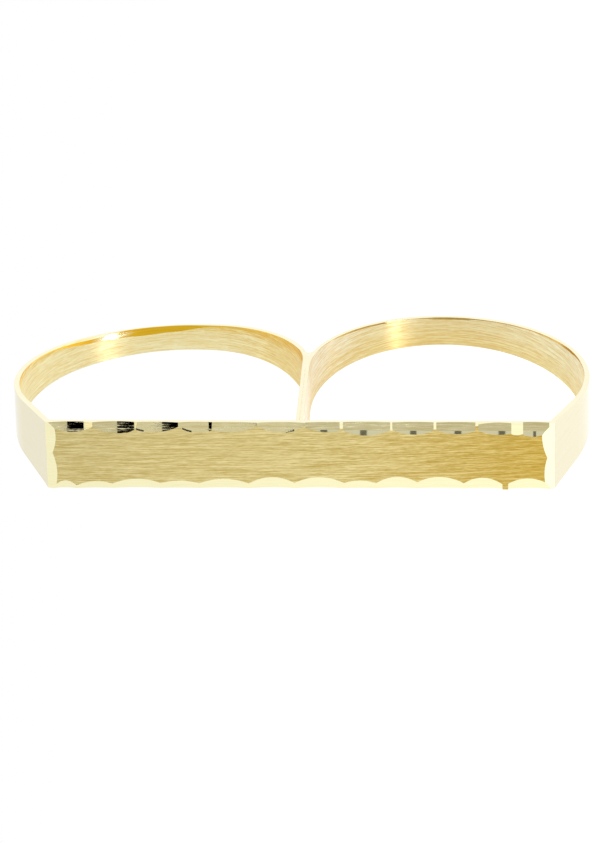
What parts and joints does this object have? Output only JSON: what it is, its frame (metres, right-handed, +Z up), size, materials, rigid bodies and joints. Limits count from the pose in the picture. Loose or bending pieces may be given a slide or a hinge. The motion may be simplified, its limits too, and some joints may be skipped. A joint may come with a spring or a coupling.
{
  "type": "two finger ring",
  "caption": "Gold two finger ring: a brushed bar with diamond-cut scalloped edges across a pair of polished hoops that share a divider.",
  "frame": {"origin": "middle of the footprint, on the surface that the ring lies on", "axes": "+X along the bar, +Y from the bar's face to the back of the hoops, +Z up, nearly along the fingers"},
  "size_m": [0.0408, 0.019, 0.0053],
  "materials": {
    "gold": "yellow gold, brushed on the bar's face, bright cut on its edges and polished on the hoops"
  },
  "bodies": {
    "root": {"ring": "gold"}
  },
  "joints": []
}
